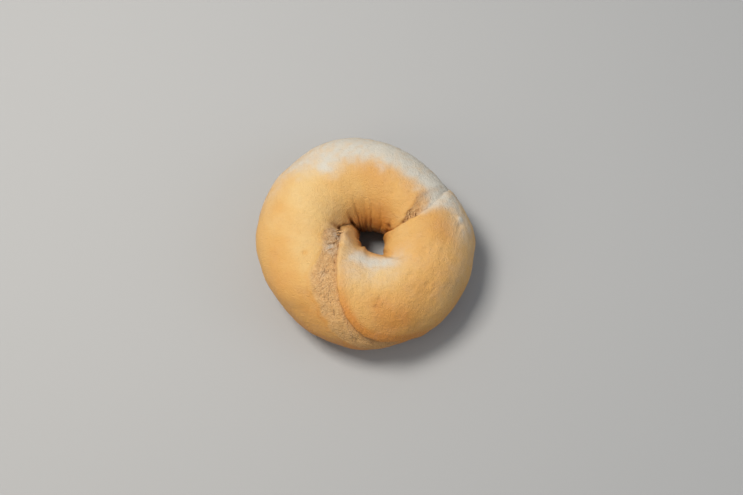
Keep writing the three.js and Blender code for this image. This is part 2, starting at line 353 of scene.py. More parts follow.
# %% [markdown]
# ## Unevenness that comes out the same every time
# Dough is lumpy at every size. A sum of sine waves in random directions gives a smooth,
# cloudy unevenness for any point in space. The random numbers come from a seed, so the same
# bagel comes out of the oven on each run. Blender's noise textures could displace the mesh
# too, but numbers made here can also steer masks, strands and edges. The first use is on the
# lap's edge, because a torn lip wanders a little.

# %% Clouds of waves
CLOUD_WAVES = 32
CLOUD_LENGTHS = (1.3, 2.8)


def clouds(places, size, seed):
    """Smooth unevenness around 0, mostly from -1 to 1, with lumps of about the given size."""
    random = np.random.default_rng(seed)
    directions = random.normal(size=(CLOUD_WAVES, places.shape[-1]))
    directions /= np.linalg.norm(directions, axis=1, keepdims=True)
    lengths = size * random.uniform(*CLOUD_LENGTHS, CLOUD_WAVES)
    phases = random.uniform(0, 2 * np.pi, CLOUD_WAVES)
    total = np.zeros(places.shape[:-1])
    for direction, length, phase in zip(directions, lengths, phases):
        total += np.sin(places @ direction * (2 * np.pi / length) + phase)
    return total / math.sqrt(CLOUD_WAVES)


plain = crust_points(heading, wrap, np.zeros_like(heading))


def cloudy(layers):
    """The sum of clouds over the plain ring, each given by its height, size and seed."""
    return sum(height * clouds(plain, size, seed) for height, size, seed in layers)


print("plain ring:", plain[..., 2].max().round(1), "mm tall")

# %% A lip that wanders
EDGE_CLOUDS = [(0.22, 3.0, 11), (0.07, 1.0, 12)]

distance, shares = lap_distance(heading, wrap)
distance = distance + cloudy(EDGE_CLOUDS)
inside = np.maximum(distance, 0)
outside = np.maximum(-distance, 0)
print("deepest point inside the lap:", round(float(distance.max()), 1), "mm")

# %% [markdown]
# ## Lips, feet and torn bands
# Towards its edge the lap swells, then rolls over in a round lip and drops into a crevice.
# Outside the crevice the skin of the rope has torn away in a band, and the band rises to
# the crust again in a soft, ragged slope. The lip's strength fades where the two layers
# have grown together: along the belt, at the mouth's outer corner and on the underside.
# Each of these is one curve over the distance from the edge.

# %% How much of the lap shows
LONG_EDGE_CALM = (275, 345)
LONG_EDGE_CALMED = 0.75
SHOULDER_CALM = dict(middle=172, spread=14)
SHOULDER_CALMED = 0.3
MOUTH_CALM = (15, 85)
MOUTH_CALMED = 0.75
ABOVE_TRAY = dict(opens=(-75, -40), closes=(205, 245))

turned = turned_from(LAP_START, heading)
above_tray = window(wrap, **ABOVE_TRAY)
long_kept = 1 - LONG_EDGE_CALMED * ramp(*LONG_EDGE_CALM, turned)
long_kept = long_kept - SHOULDER_CALMED * hump(turned, **SHOULDER_CALM)
mouth_kept = 1 - MOUTH_CALMED * (1 - ramp(*MOUTH_CALM, wrap))
kept = above_tray * (shares[0] * long_kept + shares[1] + shares[2] * mouth_kept)
print("the lap's relief averages", round(float(kept.mean()), 2), "of its full strength")

# %% Width of the torn bands
# The long band is measured in degrees of wrap and has a waist. The mouth's is in millimetres.
LONG_TEAR = 45
LONG_TEAR_PLACE = dict(middle=230, spread=57)
LONG_TEAR_SPAN = dict(opens=(144, 153), closes=(272, 302))
WAIST = 0.28
WAIST_PLACE = dict(middle=200, spread=12)
MOUTH_TEAR = 7.2
MOUTH_TEAR_PLACE = dict(middle=78, spread=48)
MOUTH_TEAR_CLOSES = (112, 150)
TEAR_CLOUDS = [(0.07, 4.0, 13), (0.02, 1.2, 14)]

long_tear = LONG_TEAR * hump(turned, **LONG_TEAR_PLACE) * window(turned, **LONG_TEAR_SPAN)
long_tear = long_tear * (1 - WAIST * hump(turned, **WAIST_PLACE))
mouth_tear = MOUTH_TEAR * hump(wrap, **MOUTH_TEAR_PLACE) * (1 - ramp(*MOUTH_TEAR_CLOSES, wrap))
tear_width = shares[0] * long_tear * across_long_edge(heading, wrap) + shares[2] * mouth_tear
tear_width = tear_width * (1 + cloudy(TEAR_CLOUDS))
print("widest torn band:", round(float(tear_width.max()), 1), "mm")

# %% Lips and feet
LONG_LIP = dict(swell=1.2, sink=1.55, torn=1.2, reach=9.0)
TIP_LIP = dict(swell=0.5, sink=2.6, torn=0.0, reach=5.0)
MOUTH_LIP = dict(swell=2.1, sink=1.45, torn=1.25, reach=12.0)
LIP_ROUND = 1.6
# The mouth's lip is rounder low on the rope.
ROUNDER_BELOW = (70, 105)
ROUNDER = 1.2
FOOT_WIDTH = 0.7
TEAR_SLOPE = 1.5
TEAR_FULL_DEPTH = 3


def shared(measure):
    """One measure of the three lips, mixed by how near each edge is."""
    return sum(lip[measure] * part for lip, part in zip((LONG_LIP, TIP_LIP, MOUTH_LIP), shares))


lip_round = LIP_ROUND * (1 + ROUNDER * shares[2] * (1 - ramp(*ROUNDER_BELOW, wrap)))
roundness = np.sqrt(1 - (1 - np.clip(inside / lip_round, 0, 1)) ** 2)
swell = shared("swell") * np.exp(-((inside / shared("reach")) ** 2))
lip_relief = swell - (1 - roundness) * (shared("swell") + shared("sink"))

torn_depth = shared("torn") * np.clip(tear_width / TEAR_FULL_DEPTH, 0, 1)
band_slope = 1 - ramp(0, 1, outside / (tear_width + TEAR_SLOPE))
foot = (shared("sink") - torn_depth) * np.exp(-outside / FOOT_WIDTH)
band_relief = -torn_depth * band_slope - foot
lap_relief = kept * np.where(distance > 0, lip_relief, band_relief)
print("the lip stands", lap_relief.max().round(2), "mm proud")

# %% [markdown]
# ## Torn dough
# Dough tears in fibres that were pulled from one layer to the other, with crumb between
# them. Their grain runs on a slant across the band. Clouds that are stretched along that
# slant and folded at 0 give ridges like fibres. A few pits lie where the lip pulled clean
# away. A sculpting brush could scratch them in, but these follow the band if it moves.

# %% Fibres and crumb
# The long edge turns about a pivot, so the way along it is measured by an angle there.
PIVOT = (4.8, -13.75)
PIVOT_HEADING = 20
ALONG_LONG_EDGE = 0.35
ALONG_MOUTH = 0.37
FIBRE_SLANT = 0.5
FIBRE_WIDTH = 0.8
FIBRE_LENGTH = 2.6
FIBRE_HEIGHT = 0.07
CRUMB_AND_TUFTS = [(0.03, 0.8, 22), (0.12, 2.5, 23)]
# Shares of the band's width where the torn dough ends, and band widths where it starts.
BAND_FADES = (0.84, 1.1)
BAND_STARTS = (0.5, 1.6)
THINNEST_BAND = 0.01
# Near the hole the mouth's band is rougher.
ROUGHER_ABOVE = (92, 108)
ROUGHER = 0.8

turn_about_pivot = np.degrees(np.arctan2(plain[..., 1] - PIVOT[1], plain[..., 0] - PIVOT[0]))
past_pivot = turned_from(PIVOT_HEADING, turn_about_pivot)
along_edge = shares[2] * wrap * ALONG_MOUTH + (1 - shares[2]) * past_pivot * ALONG_LONG_EDGE
across_fibres = (along_edge - FIBRE_SLANT * outside) / FIBRE_WIDTH
fibre_places = np.stack([across_fibres, outside / FIBRE_LENGTH], axis=-1)
fibres = 1 - 2 * np.abs(clouds(fibre_places, 1.0, seed=21))
torn_relief = FIBRE_HEIGHT * fibres + cloudy(CRUMB_AND_TUFTS)
torn_relief = torn_relief * (1 + ROUGHER * shares[2] * ramp(*ROUGHER_ABOVE, wrap))

band_place = outside / np.maximum(tear_width, THINNEST_BAND)
torn = (distance < 0) * (1 - ramp(*BAND_FADES, band_place))
torn = torn * ramp(*BAND_STARTS, tear_width) * above_tray
lap_relief = lap_relief + torn * torn_relief
print("torn dough covers", round(float(torn.mean()) * 100, 1), "% of the net")

# %% Pits
# Heading, wrap, radius, depth.
PITS = [
    (156, 136.8, 0.9, 1.2),
    (160, 133.5, 0.7, 0.9),
    (186, 126.5, 0.6, 1.0),
    (178, 130, 0.8, 0.6),
    (196, 120.5, 0.5, 0.6),
    (223, 108, 0.5, 0.9),
    (230, 98.5, 0.45, 0.7),
    (26, 155.5, 1.2, 0.6),
    (13.5, 129, 0.5, 1.2),
    (10.5, 125.5, 0.5, 1.0),
    (15.5, 108.5, 0.6, 1.1),
    (18, 101, 0.5, 0.7),
    (18.6, 116.5, 0.5, 0.9),
    (38.9, 95.5, 0.6, 0.3),
    (32, 88, 0.5, 0.25),
]


def from_place(at_heading, at_wrap):
    """Millimetres round the ring and round the dough from one place to every point."""
    around = (turned_from(at_heading - 180, heading) - at_heading) * heading_arc(heading, wrap)
    over = (turned_from(at_wrap - 180, wrap) - at_wrap) * wrap_arc(heading)
    return around, over


def patch(at_heading, at_wrap, round_ring, round_dough):
    """A soft spot: 1 at its middle, blended out over its reach each way in millimetres."""
    around, over = from_place(at_heading, at_wrap)
    return np.exp(-((around / round_ring) ** 2) - (over / round_dough) ** 2)


def round_spots(spots):
    """The sum of round soft spots, each given by heading, wrap, radius and height."""
    return sum(
        height * patch(at_heading, at_wrap, radius, radius)
        for at_heading, at_wrap, radius, height in spots
    )


pits = round_spots(PITS)
lap_relief = lap_relief - pits
print("the lap's relief:", lap_relief.min().round(2), "to", lap_relief.max().round(2), "mm")

# %% [markdown]
# ## Creases and a fold in the hole
# The far wall of the hole bunched up when the rope was bent into a ring. Its creases run
# down into the hole, deeper as they go. Each is a narrow groove that leans from one heading
# to another. On the near rim the lap folds over on itself in one deeper groove, and beside
# the tip the dough is drawn down in a hollow. A cloth simulation could bunch up dough too,
# but a groove with a start, a lean and a depth can be set by hand.

# %% Creases
# Heading at the top and at the foot, wrap where it opens, depth, half its width in degrees.
CREASES = [
    (124.5, 121, 132, 2.6, 3.8),
    (103.5, 104.5, 108, 0.7, 3.0),
    (91, 84.5, 112, 0.5, 4.5),
    (80, 70.5, 112, 0.5, 3.6),
    (68.5, 43, 104, 0.35, 3.0),
    (96, 96, 125, 0.2, 2.4),
    (117, 111, 125, 0.35, 2.6),
    (36, 24, 128, 0.5, 3.0),
]
CREASES_LEAN = (110, 170)
CREASE_GROWS = 38
CREASES_CLOSE = (190, 225)
CREASE_SWAY = [(1.2, 5.0, 31)]
CREASE_MARGIN = 0.6

lean = np.clip((wrap - CREASES_LEAN[0]) / (CREASES_LEAN[1] - CREASES_LEAN[0]), 0, 1)
swayed_heading = turned_from(-60, heading) + cloudy(CREASE_SWAY)
crease_depth = sum(
    depth
    * ramp(opens, opens + CREASE_GROWS, wrap)
    * hump(swayed_heading, top + (foot_heading - top) * lean, spread)
    for top, foot_heading, opens, depth, spread in CREASES
)
crease_depth = crease_depth * (1 - ramp(*CREASES_CLOSE, wrap)) * ramp(0, CREASE_MARGIN, outside)
print("deepest crease:", crease_depth.max().round(2), "mm")

# %% Fold and hollows
# At each wrap, the fold's heading, and its depth and half its width in millimetres.
FOLD_WRAPS = [104, 113, 122, 130, 157, 200, 225]
FOLD_HEADINGS = [329, 324, 318, 313.5, 313, 313, 313]
FOLD_DEPTHS = [0, 0.3, 0.6, 1.2, 2.3, 2.2, 0]
FOLD_SPREADS = [1.2, 1.2, 1.4, 1.8, 2.4, 2.4, 2.4]
# Heading, wrap, reach round the ring and round the dough, depth.
HOLLOWS = [(134, 148, 7.0, 12.0, 3.2), (154, 132, 3.5, 5.0, 1.0), (158, 129, 1.1, 3.6, 0.3)]
HOLLOW_MARGIN = 0.5


def patched(patches):
    """The sum of soft patches, each given by its place, its two reaches and its amount."""
    return sum(amount * patch(*place) for *place, amount in patches)


fold_depth = np.interp(wrap, FOLD_WRAPS, FOLD_DEPTHS, left=0, right=0)
fold_spread = np.interp(wrap, FOLD_WRAPS, FOLD_SPREADS)
beside_fold = turned_from(133, heading) - np.interp(wrap, FOLD_WRAPS, FOLD_HEADINGS)
fold = fold_depth * hump(beside_fold * heading_arc(heading, wrap), 0, fold_spread)
hollows = patched(HOLLOWS) * ramp(0, HOLLOW_MARGIN, outside)
relief = lap_relief - crease_depth - fold - hollows
print("fold", fold.max().round(2), "mm deep, hollow", hollows.max().round(2), "mm deep")

# %% [markdown]
# ## Lumps, dimples and blisters
# Gas in the dough leaves slow lumps, and steam leaves a few small dimples and blisters.
# Clouds of three sizes make the unevenness that is the same all over. What a baker would
# point at, such as a blister or a thumb's dent, is listed one by one. The clouds fade out at
# the lip, so that it stays clean.

# %% Marks that a baker would point at
# Heading, wrap, radius, height.
MARKS = [
    (197, 84, 1.2, -0.35),
    (52.5, 111, 1.3, -0.4),
    (56.6, 101.7, 1.0, -0.25),
    (341, 78, 1.1, 0.4),
    (342.5, 86.4, 1.4, -0.5),
    (309, 88.8, 1.3, -0.55),
    (311, 94, 1.1, 0.4),
    (313, 66, 1.3, -0.5),
    (276.7, 75, 1.0, -0.6),
    (274.1, 68.3, 1.0, -0.5),
    (277.5, 71.5, 0.9, 0.45),
    (4.6, 48.5, 1.3, 0.8),
    (0.5, 50, 1.2, -0.55),
    (311.5, 114.7, 1.4, 0.5),
    (335.8, 95.3, 1.2, -0.5),
    (273, 105, 3.5, -0.35),
    (113, 72, 1.5, 0.2),
    (288, 48, 1.0, -0.3),
    (214, 38, 10.0, 1.5),
    (2, 42, 8.0, 0.7),
    (283, 45, 9.0, -0.6),
    (186, 0, 8.0, -0.9),
    (2, 5, 9.0, 1.0),
    (268, -18, 6.0, -0.8),
    (297, -16, 4.5, 0.8),
    (312, -13, 5.0, -0.6),
    (146, 10, 7.0, -0.6),
    (36, 10, 3.0, -0.9),
    (177, 148, 5.0, -0.8),
]

marks = round_spots(MARKS)
print(len(MARKS), "marks, from", marks.min().round(2), "to", marks.max().round(2), "mm")

# %% Lumps all over
LUMP_CLOUDS = [(0.3, 12.0, 41), (0.08, 4.5, 42)]
PEBBLE_CLOUDS = [(1, 1.6, 43)]
# Pebbles are rougher on the lap, beyond its lip.
PEBBLES = 0.035
LAP_PEBBLES = 0.03
LAP_PEBBLES_START = (2, 6)
LUMPS_START = (-0.5, 3)

pebbles = PEBBLES + LAP_PEBBLES * ramp(*LAP_PEBBLES_START, distance)
lumps = cloudy(LUMP_CLOUDS) + pebbles * cloudy(PEBBLE_CLOUDS)
relief = relief + lumps * ramp(*LUMPS_START, np.abs(distance)) + marks
print("relief:", relief.min().round(2), "to", relief.max().round(2), "mm")

# %% [markdown]
# ## From numbers to a mesh
# Now the net becomes points. Relief alone can only stand straight off the ring, and a real
# lip leans out over its crevice. So the lip's points are pushed a little further, down the
# slope of the distance. The faces join each point to the next along both kinds of line, and
# both kinds close on themselves, so the skin has no open edge. Smooth shading hides the
# facets.

# %% Lean the lip out
OVERHANG = 0.4
OVERHANG_PLACE = dict(middle=0.9, spread=0.9)
TINY = 1e-9


def unit(vectors):
    return vectors / np.maximum(np.linalg.norm(vectors, axis=-1, keepdims=True), TINY)


def along_net(values, axis):
    """How much values change between the neighbours on each side along one axis."""
    return np.roll(values, -1, axis) - np.roll(values, 1, axis)


def slope_across(values, places):
    """Unit direction along the surface in which values grow fastest."""
    row_step, column_step = along_net(places, 0), along_net(places, 1)
    row_growth, column_growth = along_net(values, 0), along_net(values, 1)
    row_square = (row_step**2).sum(-1)
    column_square = (column_step**2).sum(-1)
    product = (row_step * column_step).sum(-1)
    area = np.maximum(row_square * column_square - product**2, TINY)
    by_row = (column_square * row_growth - product * column_growth) / area
    by_column = (row_square * column_growth - product * row_growth) / area
    return unit(by_row[..., None] * row_step + by_column[..., None] * column_step)


points = crust_points(heading, wrap, relief)
lean_out = OVERHANG * kept * hump(distance, **OVERHANG_PLACE)
points = points - slope_across(distance, plain) * lean_out[..., None]
points[..., 2] = np.maximum(points[..., 2], 0)
print("tallest point:", points[..., 2].max().round(1), "mm")

# %% Make the crust's mesh
def net_faces(rows, columns):
    """Four-cornered faces of a net that closes on itself both ways."""
    row, column = np.meshgrid(np.arange(rows), np.arange(columns), indexing="ij")
    next_row = (row + 1) % rows
    next_column = (column + 1) % columns
    corners = [(row, column), (next_row, column), (next_row, next_column), (row, next_column)]
    numbers = [at_row * columns + at_column for at_row, at_column in corners]
    return np.stack(numbers, axis=-1).reshape(-1, 4)


def mesh_piece(name, places, faces):
    """A smooth-shaded object from points in millimetres."""
    mesh = bpy.data.meshes.new(name)
    mesh.from_pydata((places.reshape(-1, 3) * METRES).tolist(), [], faces.tolist())
    mesh.validate()
    mesh.shade_smooth()
    piece = bpy.data.objects.new(name, mesh)
    bpy.context.scene.collection.objects.link(piece)
    return piece


bagel_crust = mesh_piece("bagel_crust", points, net_faces(HEADING_LINES, WRAP_LINES))
print("crust mesh:", len(bagel_crust.data.vertices), "points")

# %% [markdown]
# ## Where the oven left its colour
# Four masks steer the finish, each a number from 0 to 1 at every point of the mesh: toast,
# flour, torn and deep. Toast also carries painted shade in the hole, and deep is painted
# shade all through, for places that little light reaches. Painting them by hand in Blender
# would work as well. Soft patches placed by heading and wrap keep them editable as numbers.
#
# Toast is how far the crust has browned. It browns most low on the near wall and along the
# thin rim of the lip, which sticks up and dries first. In the hole the extra toast is painted
# shade, because little light gets in there. The torn band has a darker rim too, where the
# skin split, and that thin line is partly painted shade under the skin's step.

# %% Toasted patches, and painted shade in the hole
# Heading, wrap, reach round the ring and round the dough, amount.
TOAST_AND_SHADE_PATCHES = [
    (86, 88, 10, 5, 0.12),
    (62, 88, 8, 5, 0.12),
    (40, 88, 6, 5, 0.12),
    (76, 118, 9, 10, 0.12),
    (33, 113, 5, 7, 0.06),
    (4, 82, 9, 9, 0.2),
    (353, 74, 6, 5, 0.1),
    (197, 84, 1.3, 1.3, 0.25),
    (157, 58, 4, 4, 0.12),
    (226, 46, 14, 9, 0.16),
    (208, 35, 12, 10, 0.1),
    (240, 36, 10, 8, 0.18),
    (198, 42, 9, 8, 0.1),
    (187, 46, 6, 4, 0.06),
    (328, 99, 5, 4, 0.1),
    (312, 68, 14, 9, 0.14),
    (335, 55, 14, 10, 0.1),
    (300, 35, 14, 9, 0.1),
    (277, 70, 6, 4, 0.1),
    (138, 72, 16, 9, -0.22),
    (152, 99, 12, 9, -0.12),
    (190, 84, 9, 6, -0.14),
    (212, 76, 9, 5, -0.14),
    (286, 100, 13, 7, -0.16),
    (241, 140, 6, 6, -0.1),
    (279, 55, 11, 9, 0.2),
    (284, 40, 11, 9, 0.24),
    (276, 71, 3, 4, 0.1),
    # These five brown the hole's wall as painted shade, through the toast colours.
    (303, 150, 5, 4, 0.25),
    (51, 147, 7, 7, 0.16),
    (102, 152, 9, 7, 0.14),
    (68, 165, 16, 8, 0.2),
    (34, 164, 5, 6, 0.2),
    (60, 132, 6, 5, 0.08),
]

patched_toast_and_shade = patched(TOAST_AND_SHADE_PATCHES)
print("patches of toast:", patched_toast_and_shade.min().round(2), "to", patched_toast_and_shade.max().round(2))

# %% Toast, with painted shade in the hole
PLAIN_TOAST = 0.48
TOAST_CLOUDS = [(0.03, 9.0, 51), (0.02, 3.0, 52)]
LOW_WALL_TOAST = 0.2
UPPER_WALL = dict(opens=(-50, 0), closes=(205, 240))
# Painted shade in the hole, laid on as extra toast: its walls look darker because little light
# gets in.
HOLE_PAINTED_SHADE = 0.15
HOLE_SHADE_SPAN = (148, 170)
NEAR_WALL_TOAST = 0.6
NEAR_WALL = dict(middle=265, spread=75)
NEAR_WALL_BROWNS = (36, -14)
LIP_RIM_TOAST = 0.39
LIP_RIM = dict(middle=1.2, spread=2.8)
LIP_RIM_BROWNS = [(234, 252), (250, 264)]
LIP_RIM_ENDS = (284, 304)
# A thin darker line at the torn band's edge: partly browning where the skin split, partly painted
# shade under its step.
BAND_RIM_SHADE_AND_TOAST = 0.1
BAND_RIM = dict(middle=1.08, spread=0.08)

off_lap = distance < 0
lip_rim = shares[0] * hump(distance, **LIP_RIM) * (1 - ramp(*LIP_RIM_ENDS, heading))
lip_rim = lip_rim * sum(ramp(*climb, heading) for climb in LIP_RIM_BROWNS)
band_rim = off_lap * hump(band_place, **BAND_RIM) * ramp(*BAND_STARTS, tear_width)
near_wall = hump(heading, **NEAR_WALL) * ramp(*NEAR_WALL_BROWNS, wrap)
toast_and_shade = PLAIN_TOAST + patched_toast_and_shade + cloudy(TOAST_CLOUDS) + NEAR_WALL_TOAST * near_wall
toast_and_shade += LOW_WALL_TOAST * (1 - window(wrap, **UPPER_WALL)) + HOLE_PAINTED_SHADE * ramp(*HOLE_SHADE_SPAN, wrap)
toast_and_shade += LIP_RIM_TOAST * lip_rim + BAND_RIM_SHADE_AND_TOAST * band_rim
print("toast averages", toast_and_shade.mean().round(2))

# %% [markdown]
# ## Flour from the table
# Flour lies on the side of the rope that touched the table. It ends in a line high on the
# crust, which wanders and fades out towards the left, and a little more is dusted over the
# lap. Where the rope goes under the lap the flour stops at the lip, but low on the wall,
# where the two have grown together, it blends across. Loose flour could be scattered as
# tiny grains, but baked on it is only a colour and a dull sheen, so a mask is enough.

# %% Flour under the line
# The line's wrap and the flour's strength under it, at each heading.
FLOUR_LINE_HEADINGS = [10, 37, 61, 75, 86, 97, 113, 120, 131, 140, 150, 185]
FLOUR_LINE_WRAPS = [80, 83, 80, 82, 81, 81, 87, 78, 66, 51, 37, 20]
FLOUR_LINE_AMOUNTS = [1, 0.95, 0.9, 0.9, 0.9, 0.85, 0.8, 0.7, 0.55, 0.4, 0.25, 0]
FLOUR_LINE_CLOUDS = [(3, 7.0, 53), (2, 2.5, 54)]
FLOUR_LINE_ABOVE = 20
FLOUR_LINE_BELOW = 24
BELT_KEEPS_FLOUR = 0.75
ABOVE_BELT = (5, 45)
OFF_THE_TRAY = (-45, -15)
TORN_KEEPS_FLOUR = 0.85
# The blend across the lip, in millimetres, and the wraps over which the layers grow together.
SHARP_BLEND = 0.3
GROWN_BLEND = 12
GROWN_TOGETHER = (40, -20)

line_wrap = np.interp(heading, FLOUR_LINE_HEADINGS, FLOUR_LINE_WRAPS) + cloudy(FLOUR_LINE_CLOUDS)
line_amount = np.interp(heading, FLOUR_LINE_HEADINGS, FLOUR_LINE_AMOUNTS, left=0)
under_line = 1 - ramp(line_wrap - FLOUR_LINE_BELOW, line_wrap + FLOUR_LINE_ABOVE, wrap)
on_wall = BELT_KEEPS_FLOUR + (1 - BELT_KEEPS_FLOUR) * ramp(*ABOVE_BELT, wrap)
on_wall = on_wall * ramp(*OFF_THE_TRAY, wrap)
lip_blend = SHARP_BLEND + GROWN_BLEND * ramp(*GROWN_TOGETHER, wrap)
beside_lip = 1 - ramp(-lip_blend, lip_blend, distance)
not_torn_off = 1 - (1 - TORN_KEEPS_FLOUR) * torn
rope_flour = line_amount * under_line * on_wall * beside_lip * not_torn_off
print("flour under the line averages", rope_flour.mean().round(3))

# %% Dusted patches
# Heading, wrap, reach round the ring and round the dough, amount.
FLOUR_PATCHES = [
    (117, 74, 5, 4, 0.35),
    (86, 60, 14, 5, 0.15),
    (71, 71, 5, 3, 0.15),
    (148, 36, 12, 9, 0.15),
    (19, 60, 4.5, 5.5, 0.55),
    (20, 36, 6, 7, 0.45),
    (12.5, 98, 1.6, 3, 0.4),
    (16, 87, 2, 4, 0.25),
    (16, 75, 3, 4, 0.25),
    (12, 45, 6, 6.5, 0.32),
    (4.6, 48.5, 1.3, 1.3, 0.5),
    (2, 44, 8, 9, 0.32),
    (352, 34, 11, 9, 0.2),
    (206, 116, 3, 3, 0.15),
    (256, 129, 5, 3.8, 0.42),
    (275, 127, 5, 4.2, 0.4),
    (276, 152, 6, 4, 0.16),
    (291, 123, 6, 4.2, 0.5),
    (306, 116, 4, 4, 0.12),
    (315, 125, 6, 4, 0.15),
    (248, 106, 7, 8, 0.2),
    (150, 152, 5, 6, 0.15),
    (328, 40, 12, 8, 0.18),
    (143, 122, 5, 5, 0.12),
    (171, 122, 4, 4, 0.2),
    (197, 114, 3, 4, 0.25),
    (238, 126, 4, 5, 0.3),
    (200, 138, 6, 4, 0.2),
    (278, 112, 13, 9, 0.25),
    (273, 105, 3, 3, 0.15),
    (322, 108, 9, 7, 0.15),
    (177, 127, 3, 3, 0.3),
    (203, 110, 3, 3, 0.25),
    (224, 85, 2, 2, 0.25),
]
LIP_DUST = 0.24
LIP_DUST_PLACE = dict(middle=0.6, spread=1.4)
LIP_DUST_SPAN = dict(opens=(0, 20), closes=(78, 98))
FLOUR_CLOUDS = [(0.12, 2.0, 55), (0.1, 5.0, 56)]

lip_dust = LIP_DUST * shares[2] * hump(distance, **LIP_DUST_PLACE) * window(wrap, **LIP_DUST_SPAN)
flour = (rope_flour + patched(FLOUR_PATCHES) + lip_dust) * (1 + cloudy(FLOUR_CLOUDS))
print("flour averages", np.clip(flour, 0, 1).mean().round(3))

# %% [markdown]
# ## Torn dough, and painted shade in deep places
# The torn mask is the band of torn dough, which browned a little towards its end at the
# belt. The deep mask is painted shade: it darkens the colour where little light reaches.
# The throat of the hole darkens slowly, and crevices, pits and creases do so at once. A few
# patches and lines of painted shade lie in the torn dough beside the lip and in the hole.

# %% Painted shade beside the lip and round the rim
# Patches of painted shade: heading, wrap, reach round the ring and round the dough, amount.
PAINTED_SHADE_PATCHES = [
    (160, 124, 1.1, 3, 0.35),
    (156, 131.5, 1.1, 3, 0.4),
    (166, 128, 2.2, 4, 0.15),
    (127, 176, 2.0, 5, 0.4),
    (15, 125, 0.8, 2.6, 0.5),
    (17.5, 108, 0.7, 1.8, 0.4),
    (22, 113, 0.6, 2, 0.35),
    (26, 156, 1.6, 1.8, 0.5),
    (172, 118, 5, 5, 0.12),
]
# Spots of painted shade, in the same columns: in two dimples, along the hole's near rim and beside
# the tip.
PAINTED_SHADE_SPOTS = [
    (276.7, 75, 0.8, 1.0, 0.16),
    (274.1, 68.3, 1.4, 0.6, 0.22),
    (262, 151, 3, 3, 0.04),
    (225, 138, 8, 6, 0.08),
    (250, 143, 4, 4, 0.1),
    (160, 140, 4, 5, 0.06),
]
# Painted shadow lines under the step down to the mouth's band, and at the end of the long band at
# the tip.
STEP_DARK = 0.3
STEP = dict(middle=0.95, spread=0.14)
STEP_SPAN = dict(opens=(66, 84), closes=(120, 135))
BAND_END_DARK = 0.2
BAND_END = dict(middle=1.0, spread=0.2)
BAND_END_PLACE = dict(middle=160, spread=8)

step = shares[2] * hump(band_place, **STEP) * window(wrap, **STEP_SPAN)
band_end = hump(band_place, **BAND_END) * hump(heading, **BAND_END_PLACE)
painted_band_shade = off_lap * (patched(PAINTED_SHADE_PATCHES) + STEP_DARK * step + BAND_END_DARK * band_end)
print("darkest smear:", painted_band_shade.max().round(2))

# %% Deep places, darkened with painted shade
THROAT_DARK = 0.3
THROAT = dict(opens=(150, 182), closes=(215, 245))
CORE_DARK = 0.4
CORE = dict(opens=(184, 200), closes=(215, 245))
FAR_WALL_DARK = 0.5
FAR_WALL_STARTS = (60, 100)
CREVICE_DARK = 0.4
CREVICE = dict(middle=-0.3, spread=0.5)
CREVICE_CLOUDS = [(1, 2.2, 61)]
CREVICE_OPENS = (0.2, 1.2)
TIP_GAP_DARK = 0.5
TIP_GAP_PLACE = (145, 143, 4.5, 5.5)
TIP_GAP = dict(middle=-0.6, spread=0.7)
PITS_DARK = 0.6
CREASES_DARK = 0.2
CREASES_DARKEN = (120, 165)

# Painted shade: the throat of the hole and its far wall, the crevice under each lip, the gap
# beside the tip, pits and creases.
far_wall = FAR_WALL_DARK * off_lap * ramp(*FAR_WALL_STARTS, heading)
throat = window(wrap, **THROAT) * (THROAT_DARK + far_wall) + CORE_DARK * window(wrap, **CORE)
crevice = kept * hump(distance, **CREVICE) * ramp(*CREVICE_OPENS, cloudy(CREVICE_CLOUDS))
tip_gap = patch(*TIP_GAP_PLACE) * hump(distance, **TIP_GAP)
deep = throat + CREVICE_DARK * crevice + TIP_GAP_DARK * tip_gap + PITS_DARK * np.clip(pits, 0, 1)
deep += CREASES_DARK * crease_depth * ramp(*CREASES_DARKEN, wrap) + painted_band_shade + patched(PAINTED_SHADE_SPOTS)
print("deep places average", deep.mean().round(3))

# %% Paint the masks
TORN_BROWNED = 0.4
TORN_BROWNS = (208, 258)

browned = TORN_BROWNED * shares[0] * ramp(*TORN_BROWNS, heading)
masks = dict(toast_and_shade=toast_and_shade, flour=flour, torn=torn * (1 - browned), deep=deep)


def paint(piece, name, values):
    """Stores one number for each point of a mesh, for its material to read."""
    layer = piece.data.attributes.new(name, "FLOAT", "POINT")
    layer.data.foreach_set("value", np.clip(values, 0, 1).ravel().astype(np.float32))
    print(piece.name, name, "averages", np.clip(values, 0, 1).mean().round(3))


for mask_name, mask in masks.items():
    paint(bagel_crust, mask_name, mask)

# %% [markdown]
# ## The crust finish
# One material reads the four masks. Toast picks a colour from pale dough to deep gold. Flour
# and torn dough lie over it, and the deep mask paints shade over pits, crevices, creases and
# the hole's throat. Noise breaks up each edge, because flour clings to some grains of the
# crust and not to others. Fine bump gives the skin its pores.
# A picture of a crust could be wrapped round the ring instead, but it would stretch in the
# hole, and these nodes hold up at any distance.

# %% Nodes that take values or other nodes
NOISE_DETAIL = 3.0


def give(tree, socket, value):
    """Sets a socket to a value, or links another node's output to it."""
    if isinstance(value, bpy.types.NodeSocket):
        tree.links.new(value, socket)
    else:
        socket.default_value = value


def node(tree, kind, sockets, **settings):
    """A new node with its settings, and a value or another node's output in each socket."""
    made = tree.nodes.new(kind)
    for name, value in settings.items():
        setattr(made, name, value)
    for socket, value in sockets.items():
        give(tree, made.inputs[socket], value)
    return made


def reckoned(tree, operation, first, second):
    """The result of one step of arithmetic."""
    return node(tree, "ShaderNodeMath", {0: first, 1: second}, operation=operation).outputs[0]


def noise(tree, size, roughness=0.5):
    """Noise with grains of the given size in millimetres, from 0 to 1."""
    place = node(tree, "ShaderNodeTexCoord", {}).outputs["Object"]
    sockets = {"Vector": place, "Scale": 1 / (size * METRES), "Roughness": roughness}
    return node(tree, "ShaderNodeTexNoise", sockets | {"Detail": NOISE_DETAIL}).outputs["Fac"]


